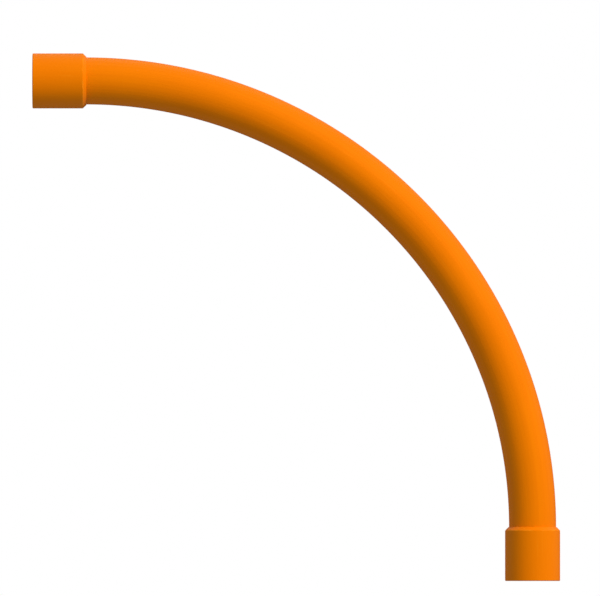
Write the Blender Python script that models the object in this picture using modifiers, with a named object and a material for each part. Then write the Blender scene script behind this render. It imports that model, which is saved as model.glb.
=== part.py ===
"""Long-radius PVC conduit elbow: a swept 90-degree tube with a coupling cemented on each end.

The bend lies in the XZ plane. Its vertical leg stands on the Z axis, with the mouth of the
lower coupling at the origin, facing down. Its horizontal leg runs towards -X and ends in the
upper coupling's mouth, facing -X. All sizes are in metres, +Z is up.
"""

import math

import bmesh
import bpy
from mathutils import Vector

# Driving dimensions: 1 1/2 in trade size rigid PVC conduit, swept to an 18 in radius.
TUBE_OUTER_RADIUS = 0.04826 / 2
TUBE_WALL = 0.00368
BEND_RADIUS = 0.4572
BEND_ANGLE = math.radians(90)
COUPLING_OUTER_RADIUS = 0.0564 / 2
SOCKET_DEPTH = 0.0268
STOP_WIDTH = 0.0016
STOP_HEIGHT = 0.0022

# Small features of a coupling.
MOUTH_LEAD_IN = 0.0008
MOUTH_OUTER_EDGE = 0.0005
SHOULDER_LENGTH = 0.0035
SHOULDER_LAND = 0.0003

# The solvent cement between the tube and a coupling, and at the tube's end.
CEMENT_GAP = 0.0003

# Facets.
SIDES = 48
BEND_STEPS = 45
SHARP_ANGLE = math.radians(30)
WELD_DISTANCE = 0.00001

# Places worked out from the driving dimensions.
TUBE_BORE_RADIUS = TUBE_OUTER_RADIUS - TUBE_WALL
COUPLING_BORE_RADIUS = TUBE_OUTER_RADIUS + CEMENT_GAP
COUPLING_LENGTH = 2 * SOCKET_DEPTH + STOP_WIDTH
TUBE_END = SOCKET_DEPTH + STOP_WIDTH + CEMENT_GAP
BEND_CENTRE = Vector((-BEND_RADIUS, 0.0, COUPLING_LENGTH))
UPPER_MOUTH = Vector((-BEND_RADIUS - COUPLING_LENGTH, 0.0, COUPLING_LENGTH + BEND_RADIUS))

# Looks of the extruded tube and of the moulded couplings.
PVC_ORANGE = (1.0, 0.22, 0.004, 1.0)
TUBE_ROUGHNESS = 0.38
COUPLING_ROUGHNESS = 0.32


def clear_scene():
    """Remove every object of the open scene."""
    for obj in list(bpy.data.objects):
        bpy.data.objects.remove(obj, do_unlink=True)


def new_collection(name):
    """Add a collection to the scene."""
    collection = bpy.data.collections.new(name)
    bpy.context.scene.collection.children.link(collection)
    return collection


def pvc_material(name, roughness):
    """Make the orange of the conduit, with the roughness of one way of making it."""
    material = bpy.data.materials.new(name)
    material.use_nodes = True
    shader = material.node_tree.nodes["Principled BSDF"]
    shader.inputs["Base Color"].default_value = PVC_ORANGE
    shader.inputs["Roughness"].default_value = roughness
    shader.inputs["Metallic"].default_value = 0.0
    return material


def evaluated_mesh(obj):
    """Return a new mesh of an object as its modifiers and curve settings make it."""
    depsgraph = bpy.context.evaluated_depsgraph_get()
    return bpy.data.meshes.new_from_object(obj.evaluated_get(depsgraph))


def shade_round(mesh):
    """Shade a mesh smooth, with its real corners kept sharp."""
    mesh.shade_smooth()
    mesh.set_sharp_from_angle(angle=SHARP_ANGLE)


def centreline(end_length):
    """Return points up the vertical leg, round the bend and along the horizontal leg."""
    points = [BEND_CENTRE + Vector((BEND_RADIUS, 0.0, -end_length))]
    for step in range(BEND_STEPS + 1):
        angle = BEND_ANGLE * step / BEND_STEPS
        points.append(BEND_CENTRE + BEND_RADIUS * Vector((math.cos(angle), 0.0, math.sin(angle))))
    points.append(BEND_CENTRE + Vector((-end_length, 0.0, BEND_RADIUS)))
    return points


def swept_rod(name, radius, end_length, collection):
    """Sweep a solid round rod along the centreline and return it as a mesh object."""
    curve = bpy.data.curves.new(name + "_path", "CURVE")
    curve.dimensions = "3D"
    curve.bevel_depth = radius
    # A round bevel has four sides, and two more for each step of its resolution.
    curve.bevel_resolution = (SIDES - 4) // 2
    curve.use_fill_caps = True
    points = centreline(end_length)
    spline = curve.splines.new("POLY")
    spline.points.add(len(points) - 1)
    for spline_point, place in zip(spline.points, points):
        spline_point.co = (*place, 1.0)
    path = bpy.data.objects.new(name + "_path", curve)
    collection.objects.link(path)

    mesh = evaluated_mesh(path)
    welded = bmesh.new()
    welded.from_mesh(mesh)
    bmesh.ops.remove_doubles(welded, verts=welded.verts, dist=WELD_DISTANCE)
    welded.to_mesh(mesh)
    welded.free()
    rod = bpy.data.objects.new(name, mesh)
    rod.matrix_world = path.matrix_world.copy()
    collection.objects.link(rod)
    bpy.data.objects.remove(path, do_unlink=True)
    return rod


def sweep_tube(parts, cutters):
    """Make the bent tube: a swept rod with a longer, thinner one cut out of it."""
    end_length = COUPLING_LENGTH - TUBE_END
    tube = swept_rod("sweep_tube", TUBE_OUTER_RADIUS, end_length, parts)
    bore = swept_rod("sweep_tube_bore", TUBE_BORE_RADIUS, COUPLING_LENGTH, cutters)
    bore.hide_render = True
    bore.display_type = "WIRE"
    cut = tube.modifiers.new("bore", "BOOLEAN")
    cut.operation = "DIFFERENCE"
    cut.object = bore
    shade_round(tube.data)
    tube.data.materials.append(pvc_material("tube_pvc", TUBE_ROUGHNESS))


def coupling_profile():
    """Return half of a coupling's section, down its outside and back up its bore."""
    bore = COUPLING_BORE_RADIUS
    land = bore + SHOULDER_LAND
    shoulder_start = COUPLING_LENGTH - SHOULDER_LENGTH
    stop_bore = bore - STOP_HEIGHT
    stop_top = SOCKET_DEPTH + STOP_WIDTH
    return [
        (land, COUPLING_LENGTH),
        (COUPLING_OUTER_RADIUS, shoulder_start),
        (COUPLING_OUTER_RADIUS, MOUTH_OUTER_EDGE),
        (COUPLING_OUTER_RADIUS - MOUTH_OUTER_EDGE, 0.0),
        (bore + MOUTH_LEAD_IN, 0.0),
        (bore, MOUTH_LEAD_IN),
        (bore, SOCKET_DEPTH),
        (stop_bore, SOCKET_DEPTH),
        (stop_bore, stop_top),
        (bore, stop_top),
        (bore, COUPLING_LENGTH),
    ]


def coupling_mesh(collection):
    """Turn the coupling's section round Z and return the mesh."""
    profile = coupling_profile()
    section = bpy.data.meshes.new("coupling_section")
    vertices = [(radius, 0.0, height) for radius, height in profile]
    edges = [(index, (index + 1) % len(profile)) for index in range(len(profile))]
    section.from_pydata(vertices, edges, [])
    turned = bpy.data.objects.new("coupling_section", section)
    collection.objects.link(turned)
    screw = turned.modifiers.new("turn", "SCREW")
    screw.axis = "Z"
    screw.angle = 2 * math.pi
    screw.steps = SIDES
    screw.render_steps = SIDES
    screw.use_merge_vertices = True
    screw.merge_threshold = WELD_DISTANCE

    mesh = evaluated_mesh(turned)
    mesh.name = "coupling"
    shade_round(mesh)
    mesh.materials.append(pvc_material("coupling_pvc", COUPLING_ROUGHNESS))
    bpy.data.objects.remove(turned, do_unlink=True)
    return mesh


def couplings(parts):
    """Place one coupling on each leg, with its mouth facing out."""
    mesh = coupling_mesh(parts)
    lower = bpy.data.objects.new("lower_coupling", mesh)
    parts.objects.link(lower)
    upper = bpy.data.objects.new("upper_coupling", mesh)
    upper.location = UPPER_MOUTH
    upper.rotation_euler = (0.0, math.radians(90), 0.0)
    parts.objects.link(upper)


def main():
    clear_scene()
    parts = new_collection("pvc_conduit_elbow")
    cutters = new_collection("cutters")
    sweep_tube(parts, cutters)
    couplings(parts)
    bpy.context.view_layer.update()


main()
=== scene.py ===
"""Looks of the long-radius PVC conduit elbow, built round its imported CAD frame. Metres, +Z up.

The swept tube and its two couplings are remade as fine closed meshes in the places that the frame
gives, with the soft edges, mould lines and cement of the real fitting. Every piece is made by
sweeping a closed outline round an axis, and carries its own straightened-out coordinates, so that
the plastic's draw lines follow the bend.
"""

import math

import bmesh
import bpy
import numpy as np
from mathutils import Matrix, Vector

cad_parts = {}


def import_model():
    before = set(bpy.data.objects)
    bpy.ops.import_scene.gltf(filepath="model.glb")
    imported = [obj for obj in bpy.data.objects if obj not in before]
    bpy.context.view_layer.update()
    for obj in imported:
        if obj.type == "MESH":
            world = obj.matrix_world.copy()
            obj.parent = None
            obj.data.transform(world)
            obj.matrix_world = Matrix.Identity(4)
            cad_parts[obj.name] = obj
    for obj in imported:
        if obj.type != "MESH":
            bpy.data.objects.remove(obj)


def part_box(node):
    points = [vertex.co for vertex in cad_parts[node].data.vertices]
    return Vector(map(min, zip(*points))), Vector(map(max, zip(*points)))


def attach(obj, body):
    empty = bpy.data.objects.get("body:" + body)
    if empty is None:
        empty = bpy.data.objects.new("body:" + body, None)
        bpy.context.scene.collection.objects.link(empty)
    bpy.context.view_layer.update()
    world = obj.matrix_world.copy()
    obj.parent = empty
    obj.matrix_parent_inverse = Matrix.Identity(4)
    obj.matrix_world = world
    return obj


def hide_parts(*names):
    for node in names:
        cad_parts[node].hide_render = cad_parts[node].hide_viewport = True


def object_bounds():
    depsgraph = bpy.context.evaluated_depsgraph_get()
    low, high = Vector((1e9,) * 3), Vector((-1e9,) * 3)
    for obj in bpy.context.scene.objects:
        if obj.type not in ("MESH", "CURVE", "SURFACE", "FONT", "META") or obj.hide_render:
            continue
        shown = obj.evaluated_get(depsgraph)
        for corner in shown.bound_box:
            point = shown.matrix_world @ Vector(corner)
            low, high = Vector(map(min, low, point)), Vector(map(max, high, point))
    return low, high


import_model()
CAD_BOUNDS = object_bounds()

# Places and sizes from the frame. The bend lies in the XZ plane.
TUBE_LOW, TUBE_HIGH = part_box("sweep_tube")
LOWER_LOW, LOWER_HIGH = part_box("lower_coupling")
UPPER_LOW, UPPER_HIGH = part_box("upper_coupling")
TUBE_RADIUS = (TUBE_HIGH.y - TUBE_LOW.y) / 2
COUPLING_RADIUS = (LOWER_HIGH.y - LOWER_LOW.y) / 2
COUPLING_LENGTH = LOWER_HIGH.z - LOWER_LOW.z
LOWER_MOUTH = Vector(((LOWER_LOW.x + LOWER_HIGH.x) / 2, (LOWER_LOW.y + LOWER_HIGH.y) / 2, LOWER_LOW.z))
UPPER_MOUTH = Vector((UPPER_LOW.x, (UPPER_LOW.y + UPPER_HIGH.y) / 2, (UPPER_LOW.z + UPPER_HIGH.z) / 2))
BEND_RADIUS = LOWER_MOUTH.x - UPPER_HIGH.x
BEND_LENGTH = BEND_RADIUS * math.pi / 2
BEND_CENTRE = Vector((UPPER_HIGH.x, LOWER_MOUTH.y, LOWER_HIGH.z))
TUBE_START = TUBE_LOW.z - LOWER_MOUTH.z
TUBE_FINISH = 2 * COUPLING_LENGTH + BEND_LENGTH - TUBE_START

# Real sizes that a node's box doesn't show.
TUBE_WALL = 0.00368
TUBE_BEVEL = 0.0008
SOCKET_DEPTH = 0.0268
SOCKET_TAPER = 0.00012
STOP_WIDTH = 0.0016
STOP_HEIGHT = 0.0022
CEMENT_GAP = 0.0003
SHOULDER_LAND = 0.0003
SHOULDER_LENGTH = 0.0035
MOUTH_LEAD_IN = 0.0008

# Radii that round the edges: the tube's cut ends, and the couplings' moulded edges.
TUBE_BORE_EDGE = 0.0003
TUBE_BEVEL_INNER_EDGE = 0.0002
TUBE_BEVEL_OUTER_EDGE = 0.0004
MOULDED_EDGE = 0.0004
MOUTH_OUTER_EDGE = 0.0009
MOUTH_INNER_EDGE = 0.0003
SHOULDER_EDGE = 0.0005
LAND_OUTER_EDGE = 0.00015
LAND_INNER_EDGE = 0.0001

# The thin line that the two halves of a mould leave on each side of a coupling. The steps are the
# places where the mesh has points across it, in half widths.
MOULD_LINE_HEIGHT = 0.00006
MOULD_LINE_HALF_WIDTH = 0.00022
MOULD_LINE_SIDES = (0.0, math.pi)
MOULD_LINE_STEPS = (-1.6, -0.8, -0.35, 0, 0.35, 0.8, 1.6)

# The bead of dried cement: how far it reaches into the gap, into the tube, over the land and out.
BEAD_DEPTH = 0.0002
BEAD_OVERLAP = 0.00006
BEAD_LAND_SHARE = 0.6
BEAD_HEIGHT = 0.00035
BEAD_UNEVENNESS = 0.6
BEAD_WAVES = 6
BEAD_SLOWEST_WAVE = 2
BEAD_STEPS = 5

# Fineness of the meshes. The hold is how far past a rounding its last ring lies, in radii.
SIDES = 128
BEND_STEPS = 120
CORNER_STEPS = 4
HOLD_SHARE = 0.4

# The way across the bend's plane.
SIDE = Vector((0.0, 1.0, 0.0))


# Outlines -----------------------------------------------------------------------------------


def round_corner(before, corner, after, radius):
    """Return the points of an arc that rounds one corner of an outline.

    One more point on each side, just past the arc, keeps the smooth shading of the long straight
    faces flat.
    """
    before, corner, after = (np.array(point, float) for point in (before, corner, after))
    to_before = (before - corner) / np.linalg.norm(before - corner)
    to_after = (after - corner) / np.linalg.norm(after - corner)
    half_angle = math.acos(float(np.clip(to_before @ to_after, -1, 1))) / 2
    setback = radius / math.tan(half_angle)
    middle = corner + (to_before + to_after) / np.linalg.norm(to_before + to_after) * (
        radius / math.sin(half_angle)
    )
    start = corner + to_before * setback - middle
    finish = corner + to_after * setback - middle
    past_arc = setback + HOLD_SHARE * radius
    points = [tuple((corner + to_before * past_arc).tolist())]
    for step in range(CORNER_STEPS + 1):
        share = step / CORNER_STEPS
        spoke = start * (1 - share) + finish * share
        points.append(tuple((middle + spoke / np.linalg.norm(spoke) * radius).tolist()))
    points.append(tuple((corner + to_after * past_arc).tolist()))
    return points


def rounded_outline(corners):
    """Turn a closed outline of (radius, distance, rounding) corners into points."""
    points = []
    for index, (radius, distance, rounding) in enumerate(corners):
        before = corners[index - 1][:2]
        after = corners[(index + 1) % len(corners)][:2]
        if rounding:
            points += round_corner(before, (radius, distance), after, rounding)
        else:
            points.append((radius, distance))
    return points


def tube_outline():
    """The tube's wall cut lengthwise: up its outside from the lower end, and back down its bore."""
    bore = TUBE_RADIUS - TUBE_WALL
    bend_start, bend_finish = COUPLING_LENGTH, COUPLING_LENGTH + BEND_LENGTH
    stations = np.linspace(bend_start, bend_finish, BEND_STEPS + 1).tolist()
    ends = rounded_outline(
        [
            (bore, TUBE_START, TUBE_BORE_EDGE),
            (TUBE_RADIUS - TUBE_BEVEL, TUBE_START, TUBE_BEVEL_INNER_EDGE),
            (TUBE_RADIUS, TUBE_START + TUBE_BEVEL, TUBE_BEVEL_OUTER_EDGE),
            (TUBE_RADIUS, TUBE_FINISH - TUBE_BEVEL, TUBE_BEVEL_OUTER_EDGE),
            (TUBE_RADIUS - TUBE_BEVEL, TUBE_FINISH, TUBE_BEVEL_INNER_EDGE),
            (bore, TUBE_FINISH, TUBE_BORE_EDGE),
        ]
    )
    half = len(ends) // 2
    outside = [(TUBE_RADIUS, station) for station in stations]
    inside = [(bore, station) for station in stations[::-1]]
    return ends[:half] + outside + ends[half:] + inside


def coupling_outline():
    """A coupling's wall cut lengthwise: from its shoulder down its outside, and back up its bore."""
    outer = COUPLING_RADIUS - MOULD_LINE_HEIGHT
    bore = TUBE_RADIUS + CEMENT_GAP
    land = bore + SHOULDER_LAND
    shoulder_start = COUPLING_LENGTH - SHOULDER_LENGTH
    stop_bore = bore - STOP_HEIGHT
    stop_finish = SOCKET_DEPTH + STOP_WIDTH
    return rounded_outline(
        [
            (land, COUPLING_LENGTH, LAND_OUTER_EDGE),
            (outer, shoulder_start, SHOULDER_EDGE),
            (outer, 0.0, MOUTH_OUTER_EDGE),
            (bore + SOCKET_TAPER + MOUTH_LEAD_IN, 0.0, MOUTH_INNER_EDGE),
            (bore + SOCKET_TAPER, MOUTH_LEAD_IN, MOULDED_EDGE),
            (bore - SOCKET_TAPER, SOCKET_DEPTH, MOULDED_EDGE),
            (stop_bore, SOCKET_DEPTH, MOULDED_EDGE),
            (stop_bore, stop_finish, MOULDED_EDGE),
            (bore, stop_finish, MOULDED_EDGE),
            (bore, COUPLING_LENGTH, LAND_INNER_EDGE),
        ]
    )


# Sweeps -------------------------------------------------------------------------------------


def along_bend(distance):
    """The centreline's point at a distance from the lower mouth, and the way out of the bend."""
    if distance <= COUPLING_LENGTH:
        return LOWER_MOUTH + Vector((0, 0, distance)), Vector((1, 0, 0))
    angle = (distance - COUPLING_LENGTH) / BEND_RADIUS
    if angle <= math.pi / 2:
        out = Vector((math.cos(angle), 0, math.sin(angle)))
        return BEND_CENTRE + BEND_RADIUS * out, out
    beyond = distance - COUPLING_LENGTH - BEND_LENGTH
    return BEND_CENTRE + Vector((-beyond, 0, BEND_RADIUS)), Vector((0, 0, 1))


def along_leg(mouth, along, out):
    """The same for the straight axis of one coupling, from its own mouth inwards."""
    return lambda distance: (mouth + distance * along, out)


def swept_piece(name, outline, centreline, angles, swell=None):
    """Sweep a closed outline round a centreline into a closed mesh.

    outline is a list of (radius, distance). swell(radius, distance, angle) gives a radius and a
    distance changed at that angle. The mesh keeps each point's straightened-out place in the
    attribute "straight": across, across and along the piece, in metres.
    """
    vertices, straight = [], []
    for radius, distance in outline:
        for angle in angles:
            here = swell(radius, distance, angle) if swell else (radius, distance)
            centre, out = centreline(here[1])
            across = math.cos(angle) * out + math.sin(angle) * SIDE
            vertices.append(centre + across * here[0])
            straight.append((here[0] * math.cos(angle), here[0] * math.sin(angle), here[1]))
    rings, sides = len(outline), len(angles)
    faces = []
    for ring in range(rings):
        above = (ring + 1) % rings
        for side in range(sides):
            beside = (side + 1) % sides
            corners = (ring * sides + side, ring * sides + beside)
            faces.append(corners + (above * sides + beside, above * sides + side))
    mesh = bpy.data.meshes.new(name)
    mesh.from_pydata(vertices, [], faces)
    shaped = bmesh.new()
    shaped.from_mesh(mesh)
    bmesh.ops.recalc_face_normals(shaped, faces=shaped.faces)
    shaped.to_mesh(mesh)
    shaped.free()
    attribute = mesh.attributes.new("straight", "FLOAT_VECTOR", "POINT")
    attribute.data.foreach_set("vector", np.array(straight, np.float32).ravel())
    mesh.shade_smooth()
    piece = bpy.data.objects.new(name, mesh)
    bpy.context.scene.collection.objects.link(piece)
    return piece


def even_angles(count):
    """Angles spaced evenly round a full turn."""
    return [2 * math.pi * index / count for index in range(count)]


# Pieces -------------------------------------------------------------------------------------


def coupling(name, mouth, along, out):
    """A moulded coupling, with its mould line raised on the outside only."""
    half_angle = MOULD_LINE_HALF_WIDTH / COUPLING_RADIUS
    outside = COUPLING_RADIUS - 2 * MOULD_LINE_HEIGHT
    angles = set(even_angles(SIDES))
    for line in MOULD_LINE_SIDES:
        angles |= {line + half_angle * step for step in MOULD_LINE_STEPS}

    def swell(radius, distance, angle):
        if radius < outside:
            return radius, distance
        nearest = min(abs(angle - line) for line in MOULD_LINE_SIDES)
        ridge = max(0.0, 1 - nearest / half_angle)
        return radius + MOULD_LINE_HEIGHT * ridge, distance

    leg = along_leg(mouth, along, out)
    return swept_piece(name, coupling_outline(), leg, sorted(angles), swell)


def cement_bead(name, mouth, along, out, seed):
    """The thin uneven fillet of dried solvent cement where the tube enters a coupling."""
    phases = np.random.default_rng(seed).uniform(0, 2 * math.pi, BEAD_WAVES)
    inner = TUBE_RADIUS - BEAD_OVERLAP
    width = CEMENT_GAP + BEAD_LAND_SHARE * SHOULDER_LAND
    edge = COUPLING_LENGTH
    outline = [(inner, edge - BEAD_DEPTH)]
    for step in range(BEAD_STEPS, -1, -1):
        angle = math.pi / 2 * step / BEAD_STEPS
        outline.append(
            (inner + width * (1 - math.sin(angle)), edge + BEAD_HEIGHT * (1 - math.cos(angle)))
        )
    outline.append((inner + width, edge - BEAD_DEPTH))

    def swell(radius, distance, angle):
        waves = [
            math.sin(turns * angle + phase) for turns, phase in enumerate(phases, BEAD_SLOWEST_WAVE)
        ]
        uneven = sum(waves) / BEAD_WAVES
        rise = max(0.0, distance - edge)
        return radius, edge + rise * (1 + BEAD_UNEVENNESS * uneven) if rise else distance

    return swept_piece(name, outline, along_leg(mouth, along, out), even_angles(SIDES), swell)


# Materials ----------------------------------------------------------------------------------


class Tree:
    """Adds nodes to a node tree, each with its inputs set or linked in one call."""

    def __init__(self, tree):
        self.tree = tree

    def put(self, socket, value):
        if isinstance(value, bpy.types.NodeSocket):
            self.tree.links.new(value, socket)
        else:
            socket.default_value = value

    def node(self, kind, output=0, settings=None, **inputs):
        made = self.tree.nodes.new(kind)
        for key, value in (settings or {}).items():
            setattr(made, key, value)
        for key, value in inputs.items():
            self.put(made.inputs[key.replace("_", " ")], value)
        return made.outputs[output]

    def maths(self, operation, first, second=0.0, third=0.0):
        made = self.tree.nodes.new("ShaderNodeMath")
        made.operation = operation
        for socket, value in zip(made.inputs, (first, second, third)):
            self.put(socket, value)
        return made.outputs[0]

    def straight(self):
        """The straightened-out place that swept_piece keeps in a mesh."""
        settings = {"attribute_name": "straight"}
        return self.node("ShaderNodeAttribute", output="Vector", settings=settings)

    def noise(self, place, scale, detail=2.0, roughness=0.5):
        """Noise with scale features to the metre: across, across and along the piece."""
        scaled = self.node("ShaderNodeMapping", Vector=place, Scale=scale)
        inputs = {"Vector": scaled, "Scale": 1.0, "Detail": detail, "Roughness": roughness}
        return self.node("ShaderNodeTexNoise", **inputs)

    def ramp(self, value, low, high, to_low=0.0, to_high=1.0):
        made = self.tree.nodes.new("ShaderNodeMapRange")
        made.interpolation_type = "SMOOTHSTEP"
        sockets = ("Value", "From Min", "From Max", "To Min", "To Max")
        for key, value in zip(sockets, (value, low, high, to_low, to_high)):
            self.put(made.inputs[key], value)
        return made.outputs[0]

    def mix(self, share, first, second):
        made = self.tree.nodes.new("ShaderNodeMix")
        made.data_type = "RGBA"
        self.put(made.inputs["Factor"], share)
        self.put(made.inputs[6], first)
        self.put(made.inputs[7], second)
        return made.outputs[2]

    def bump(self, height, distance, normal=None):
        made = self.tree.nodes.new("ShaderNodeBump")
        made.inputs["Distance"].default_value = distance
        self.put(made.inputs["Height"], height)
        if normal is not None:
            self.put(made.inputs["Normal"], normal)
        return made.outputs[0]

    def shader_mix(self, share, first, second):
        made = self.tree.nodes.new("ShaderNodeMixShader")
        for socket, value in zip(made.inputs, (share, first, second)):
            self.put(socket, value)
        return made.outputs[0]


class Graph(Tree):
    """A new material's node tree, with its Principled BSDF as shader."""

    def __init__(self, name):
        self.material = bpy.data.materials.new(name)
        self.material.use_nodes = True
        super().__init__(self.material.node_tree)
        self.shader = self.tree.nodes["Principled BSDF"]


# Colours of the pigmented plastic and its faint sheen.
ORANGE = (0.98, 0.230, 0.0004, 1.0)
ORANGE_DEEP = (0.90, 0.195, 0.0004, 1.0)
ORANGE_RUBBED = (0.99, 0.270, 0.006, 1.0)
SHEEN = (1.0, 0.38, 0.02, 1.0)
SHEEN_LEVEL = 0.25

# How fine each pattern is, in features to the metre: across, across and along a piece.
CLOUDS = (13.0, 13.0, 9.0)
DRAW_LINES = (420.0, 420.0, 3.0)
GRAIN = (1900.0, 1900.0, 1900.0)
PEEL = (260.0, 260.0, 170.0)
DRAG_MARKS = (2400.0, 2400.0, 22.0)
DRAG_PATCHES = (23.0, 23.0, 11.0)
WORN_PATCHES = (140.0, 140.0, 500.0)
CEMENT_PATCHES = (330.0, 330.0, 330.0)

# The part of a noise's range, out of 0 to 1, over which its pattern goes from absent to full.
CLOUD_TONE_RANGE = (0.3, 0.7)
CLOUD_ROUGHNESS_RANGE = (0.35, 0.65)
DRAW_LINE_RANGE = (0.32, 0.68)
DRAG_MARK_RANGE = (0.66, 0.78)
DRAG_PATCH_RANGE = (0.44, 0.62)
WORN_PATCH_RANGE = (0.42, 0.62)
CEMENT_RANGE = (0.3, 0.7)

# How far each pattern moves the colour towards the deep orange, and how much it adds to roughness.
CLOUD_TONE = 0.45
DRAW_LINE_TONE = 0.35
CLOUD_ROUGHNESS = 0.07
DRAW_LINE_ROUGHNESS = 0.08
MARK_ROUGHNESS = 0.15
CEMENT_ROUGHNESS = (0.18, 0.34)

# How high each pattern stands, in metres.
PEEL_HEIGHT = 0.00005
DRAW_LINE_HEIGHT = 0.00004
GRAIN_HEIGHT = 0.000006
MARK_HEIGHT = -0.000015
CEMENT_HEIGHT = 0.00008

# Rubbing is full up to the first distance from an edge and gone at the second, in metres.
WORN_REACH = (0.0003, 0.0011)


def drag_marks(graph, place, offset):
    """Sparse fine drag marks along a piece, in patches. The offset gives each material its own."""
    stretched = graph.node("ShaderNodeMapping", Vector=place, Scale=DRAG_MARKS)
    moved = graph.node("ShaderNodeVectorMath", Vector=stretched)
    moved.node.inputs[1].default_value = (offset, offset, offset)
    fine = graph.node("ShaderNodeTexNoise", Vector=moved, Scale=1.0, Detail=1.0, Roughness=0.5)
    patches = graph.ramp(graph.noise(place, DRAG_PATCHES), *DRAG_PATCH_RANGE)
    return graph.maths("MULTIPLY", graph.ramp(fine, *DRAG_MARK_RANGE), patches)


def worn_edges(graph, place, edges):
    """Patchy rubbing beside edges at given distances along a piece."""
    along = graph.node("ShaderNodeSeparateXYZ", output="Z", Vector=place)
    worn = 0.0
    for edge in edges:
        away = graph.maths("ABSOLUTE", graph.maths("SUBTRACT", along, edge))
        beside = graph.ramp(away, *WORN_REACH, to_low=1.0, to_high=0.0)
        worn = graph.maths("MAXIMUM", worn, beside)
    patches = graph.ramp(graph.noise(place, WORN_PATCHES, detail=3.0), *WORN_PATCH_RANGE)
    return graph.maths("MULTIPLY", worn, patches)


def pvc(name, drawn, roughness, offset, edges=()):
    """Pigmented rigid PVC, worn along the given edges.

    drawn is how strongly the draw lines of an extruded tube show, from 0 to 1.
    """
    graph = Graph(name)
    place = graph.straight()
    clouds = graph.noise(place, CLOUDS, detail=3.0)
    lines = graph.ramp(graph.noise(place, DRAW_LINES, detail=4.0, roughness=0.6), *DRAW_LINE_RANGE)
    marks = drag_marks(graph, place, offset)
    if edges:
        marks = graph.maths("MAXIMUM", marks, worn_edges(graph, place, edges))

    tone = graph.ramp(clouds, *CLOUD_TONE_RANGE, to_high=CLOUD_TONE)
    tone = graph.maths("MULTIPLY_ADD", lines, DRAW_LINE_TONE * drawn, tone)
    base = graph.mix(tone, ORANGE, ORANGE_DEEP)
    graph.put(graph.shader.inputs["Base Color"], graph.mix(marks, base, ORANGE_RUBBED))

    cloudy = graph.ramp(clouds, *CLOUD_ROUGHNESS_RANGE)
    rough = graph.maths("MULTIPLY_ADD", cloudy, CLOUD_ROUGHNESS, roughness)
    rough = graph.maths("MULTIPLY_ADD", lines, DRAW_LINE_ROUGHNESS * drawn, rough)
    rough = graph.maths("MULTIPLY_ADD", marks, MARK_ROUGHNESS, rough)
    graph.put(graph.shader.inputs["Roughness"], rough)

    normal = graph.bump(graph.noise(place, PEEL), PEEL_HEIGHT)
    normal = graph.bump(lines, DRAW_LINE_HEIGHT * drawn, normal)
    normal = graph.bump(graph.noise(place, GRAIN), GRAIN_HEIGHT, normal)
    normal = graph.bump(marks, MARK_HEIGHT, normal)
    graph.put(graph.shader.inputs["Normal"], normal)
    graph.shader.inputs["Specular IOR Level"].default_value = SHEEN_LEVEL
    graph.shader.inputs["Specular Tint"].default_value = SHEEN
    return graph.material


def dried_cement(name):
    """Clear solvent cement over the orange plastic: glossier, and a little uneven."""
    graph = Graph(name)
    uneven = graph.noise(graph.straight(), CEMENT_PATCHES)
    rough = graph.ramp(uneven, *CEMENT_RANGE, *CEMENT_ROUGHNESS)
    graph.put(graph.shader.inputs["Base Color"], graph.mix(uneven, ORANGE, ORANGE_DEEP))
    graph.put(graph.shader.inputs["Roughness"], rough)
    graph.put(graph.shader.inputs["Normal"], graph.bump(uneven, CEMENT_HEIGHT))
    graph.shader.inputs["Specular Tint"].default_value = SHEEN
    return graph.material


# Assembly -----------------------------------------------------------------------------------


def keep(piece, material, node=None):
    """Give a piece its material and its body, and hide the CAD node that it replaces, if any."""
    piece.data.materials.append(material)
    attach(piece, "root")
    if node:
        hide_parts(node)


def build_elbow():
    worn = (0.0, COUPLING_LENGTH - SHOULDER_LENGTH)
    tube_material = pvc("drawn_orange_pvc", drawn=1.0, roughness=0.50, offset=0.0)
    coupling_material = pvc("moulded_orange_pvc", drawn=0.15, roughness=0.48, offset=3.0, edges=worn)
    cement_material = dried_cement("dried_cement")

    tube = swept_piece("tube", tube_outline(), along_bend, even_angles(SIDES))
    keep(tube, tube_material, "sweep_tube")
    up, right = Vector((0, 0, 1)), Vector((1, 0, 0))
    legs = (("lower", LOWER_MOUTH, up, right, 5), ("upper", UPPER_MOUTH, right, up, 6))
    for leg, mouth, along, out, seed in legs:
        made = coupling(leg + "_socket", mouth, along, out)
        keep(made, coupling_material, leg + "_coupling")
        bead = cement_bead(leg + "_cement", mouth, along, out, seed)
        keep(bead, cement_material)


# Studio -------------------------------------------------------------------------------------

# The two suns: the way to each, its strength and its width in degrees.
SUN_COLOUR = (1.0, 0.87, 0.80)
KEY = ((0.59, -0.55, 0.59), 2.63, 24)
RIM = ((-0.25, 0.95, 0.15), 2.0, 40)

WHITE = (1, 1, 1, 1)
FILL_COLOUR = (0.332, 0.398, 0.415, 1)
REFLECTED_LOW = 0.03
REFLECTED_HIGH = 1.0

FLOOR_COLOUR = (0.92, 0.92, 0.92, 1)
FLOOR_ROUGHNESS = 0.9
FLOOR_RADIUS = 6.0
FLOOR_SIDES = 96
FLOOR_FADE = (0.35, 1.3)

# The camera: a long lens, how far it aims from the middle and how wide it frames, in object widths.
LENS = 1300
AIM_RIGHT = 0.0071
AIM_UP = 0.0363
FRAMED_WIDTH = 1.1371
FARTHEST_SEEN = 100


def sun(name, towards, strength, softness):
    """A distant soft light that shines from the direction towards."""
    light = bpy.data.lights.new(name, "SUN")
    light.energy = strength
    light.color = SUN_COLOUR
    light.angle = math.radians(softness)
    lamp = bpy.data.objects.new(name, light)
    lamp.rotation_mode = "QUATERNION"
    lamp.rotation_quaternion = Vector(towards).to_track_quat("Z", "Y")
    bpy.context.scene.collection.objects.link(lamp)
    return lamp


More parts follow.
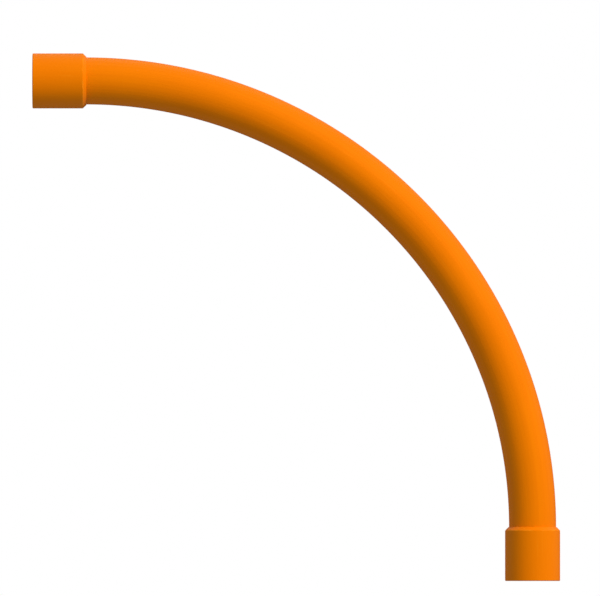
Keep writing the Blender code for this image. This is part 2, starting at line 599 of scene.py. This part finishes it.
def world():
    """A white surround. It lights softly, and reflections see it darker towards the horizon."""
    surround = bpy.data.worlds.new("studio")
    surround.use_nodes = True
    graph = Tree(surround.node_tree)
    surround.node_tree.nodes.clear()
    white = graph.node("ShaderNodeBackground", Color=WHITE)
    fill = graph.node("ShaderNodeBackground", Color=FILL_COLOUR)
    direction = graph.node("ShaderNodeTexCoord")
    height = graph.node("ShaderNodeSeparateXYZ", output="Z", Vector=direction)
    glow = graph.ramp(height, 0.0, 1.0, REFLECTED_LOW, REFLECTED_HIGH)
    reflected = graph.node("ShaderNodeBackground", Color=WHITE, Strength=glow)
    in_reflections = graph.node("ShaderNodeLightPath", output="Is Glossy Ray")
    in_camera = graph.node("ShaderNodeLightPath", output="Is Camera Ray")
    unseen = graph.shader_mix(in_reflections, fill, reflected)
    output = surround.node_tree.nodes.new("ShaderNodeOutputWorld")
    graph.put(output.inputs["Surface"], graph.shader_mix(in_camera, unseen, white))
    surround.cycles.sampling_method = "NONE"
    bpy.context.scene.world = surround


def floor():
    """A pale round floor that fades into the white surround."""
    bpy.ops.mesh.primitive_circle_add(vertices=FLOOR_SIDES, radius=FLOOR_RADIUS, fill_type="NGON")
    ground = bpy.context.object
    ground.name = "floor"
    centre = (CAD_BOUNDS[0] + CAD_BOUNDS[1]) / 2
    ground.location = (centre.x, centre.y, CAD_BOUNDS[0].z)
    ground.visible_diffuse = False
    ground.visible_glossy = False
    graph = Graph("pale_floor")
    place = graph.node("ShaderNodeTexCoord", output="Object")
    length = {"operation": "LENGTH"}
    away = graph.node("ShaderNodeVectorMath", output="Value", settings=length, Vector=place)
    graph.shader.inputs["Base Color"].default_value = FLOOR_COLOUR
    graph.shader.inputs["Roughness"].default_value = FLOOR_ROUGHNESS
    glow = graph.node("ShaderNodeEmission")
    faded = graph.shader_mix(graph.ramp(away, *FLOOR_FADE), graph.shader.outputs[0], glow)
    graph.put(graph.tree.nodes["Material Output"].inputs[0], faded)
    ground.data.materials.append(graph.material)


def camera():
    """Square-on to the bend's plane, from so far off that there is hardly any perspective.

    The eye is level with the floor, which it sees edge-on, and looks up by less than a degree.
    """
    low, high = CAD_BOUNDS
    width = high.x - low.x
    aim = (low + high) / 2 + Vector((AIM_RIGHT * width, 0, AIM_UP * width))
    view = bpy.data.cameras.new("camera")
    view.lens = LENS
    view.clip_end = FARTHEST_SEEN
    distance = FRAMED_WIDTH * width * view.lens / view.sensor_width
    eye = bpy.data.objects.new("camera", view)
    eye.location = (aim.x, aim.y - distance, low.z)
    eye.rotation_euler = (math.pi / 2 + math.atan((aim.z - low.z) / distance), 0, 0)
    bpy.context.scene.collection.objects.link(eye)
    bpy.context.scene.camera = eye


def studio():
    scene = bpy.context.scene
    scene.view_settings.view_transform = "Standard"
    world()
    sun("key", *KEY)
    rim = sun("rim", *RIM)
    rim.visible_glossy = False
    floor()
    camera()


build_elbow()
studio()
